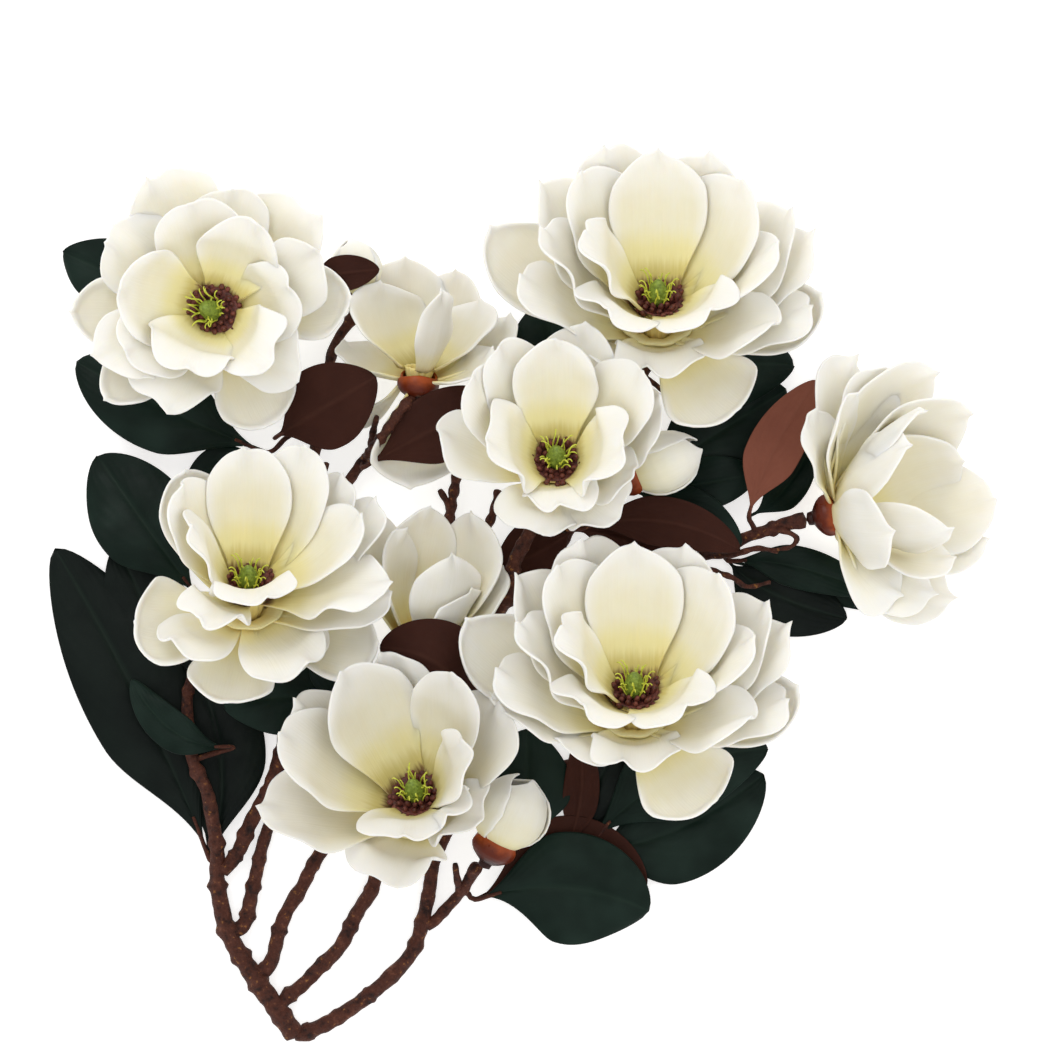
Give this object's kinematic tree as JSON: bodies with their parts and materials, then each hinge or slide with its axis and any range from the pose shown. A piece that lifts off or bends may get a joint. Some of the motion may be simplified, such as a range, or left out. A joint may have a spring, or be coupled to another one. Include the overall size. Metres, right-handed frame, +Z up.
{
  "type": "magnolia branch",
  "caption": "Flowering magnolia branch lying on its back: open cream-white blooms, closed buds, dark leaves with brown undersides and forked bark-rough stems.",
  "frame": {"origin": "centre of the bounding box's underside, on the surface that the branch lies on", "axes": "+X across the branch to the right as seen from above, +Y from the cut stem towards the topmost blooms, +Z up out of the surface"},
  "size_m": [0.6132, 0.5798, 0.1239],
  "materials": {
    "petal_white": "soft matt moulded foam, warm white with cream hollows and pale yellow bases",
    "bloom_centre": "matt green cone with lime threads in a ring of dark red-brown stamens",
    "calyx_brown": "glossy orange to dark red-brown scales",
    "leaf_green": "satin dark green upper side with a pale midrib and a brown underside",
    "leaf_brown": "matt felted red-brown underside",
    "bark": "rough red-brown bark with orange specks and knots"
  },
  "bodies": {
    "root": {"bloom_1_centre": "bloom_centre", "bloom_1_inner_petals": "petal_white", "bloom_1_outer_petals": "petal_white", "bloom_2_centre": "bloom_centre", "bloom_2_inner_petals": "petal_white", "bloom_2_outer_petals": "petal_white", "bloom_3_calyx": "calyx_brown", "bloom_3_inner_petals": "petal_white", "bloom_3_outer_petals": "petal_white", "bloom_4_centre": "bloom_centre", "bloom_4_inner_petals": "petal_white", "bloom_4_outer_petals": "petal_white", "bloom_5_centre": "bloom_centre", "bloom_5_inner_petals": "petal_white", "bloom_5_outer_petals": "petal_white", "bloom_6_calyx": "calyx_brown", "bloom_6_inner_petals": "petal_white", "bloom_6_outer_petals": "petal_white", "bloom_7_petals": "petal_white", "bloom_8_centre": "bloom_centre", "bloom_8_inner_petals": "petal_white", "bloom_8_outer_petals": "petal_white", "bloom_9_centre": "bloom_centre", "bloom_9_inner_petals": "petal_white", "bloom_9_outer_petals": "petal_white", "bud_1_petals": "petal_white", "bud_2_calyx": "calyx_brown", "bud_2_petals": "petal_white", "bud_3_calyx": "calyx_brown", "bud_3_petals": "petal_white", "leaf_bloom_1_left": "leaf_green", "leaf_bloom_2_upper": "leaf_green", "leaf_bloom_4_back": "leaf_green", "leaf_bloom_5_right": "leaf_green", "leaf_bottom": "leaf_green", "leaf_brown_bloom_7": "leaf_brown", "leaf_brown_left": "leaf_brown", "leaf_brown_middle": "leaf_brown", "leaf_bud_1": "leaf_brown", "leaf_bud_3": "leaf_green", "leaf_curled_left": "leaf_green", "leaf_group_lower_right": "leaf_green", "leaf_group_middle": "leaf_brown", "leaf_group_right": "leaf_green", "leaf_pair_bloom_8": "leaf_green", "leaf_pair_bloom_9_upper": "leaf_green", "leaf_pair_far_right": "leaf_brown", "leaf_pair_left": "leaf_green", "leaf_pair_under_bloom_1": "leaf_green", "stem_bloom_1": "bark", "stem_bloom_3": "bark", "stem_bloom_4": "bark", "stem_bloom_5": "bark", "stem_bloom_6": "bark", "stem_bloom_7": "bark", "stem_bloom_8": "bark", "stem_bloom_9": "bark", "stem_bud_3": "bark", "stem_main": "bark", "stem_right_arm": "bark"}
  },
  "joints": []
}
